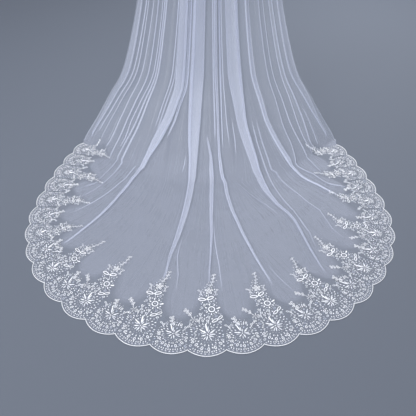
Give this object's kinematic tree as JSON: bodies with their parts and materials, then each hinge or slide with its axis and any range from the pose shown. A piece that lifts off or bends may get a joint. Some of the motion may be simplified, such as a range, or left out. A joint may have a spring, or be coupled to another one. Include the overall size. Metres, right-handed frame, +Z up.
{
  "type": "bridal veil",
  "caption": "Long bridal veil on a hair comb: sheer gathered net falls behind the wearer and spreads as a rounded train with a scalloped lace border.",
  "frame": {"origin": "middle of the comb's spine, where the hair holds the veil", "axes": "+Z up along the standing wearer, the train runs out behind the wearer along -Y, +X to the wearer's right seen from behind; the floor is 1.6 m below the origin"},
  "size_m": [1.5784, 1.5181, 1.6065],
  "materials": {
    "comb": "polished wire comb",
    "binding": "satin binding over the gathers",
    "net": "sheer soft net",
    "lace": "embroidered net lace with small sequins",
    "cord": "corded satin stitch edge"
  },
  "bodies": {
    "root": {"comb": "comb", "gathered_heading": "binding", "net_fall": "net", "net_train": "net", "lace_border": "lace", "edge_cord": "cord"}
  },
  "joints": []
}
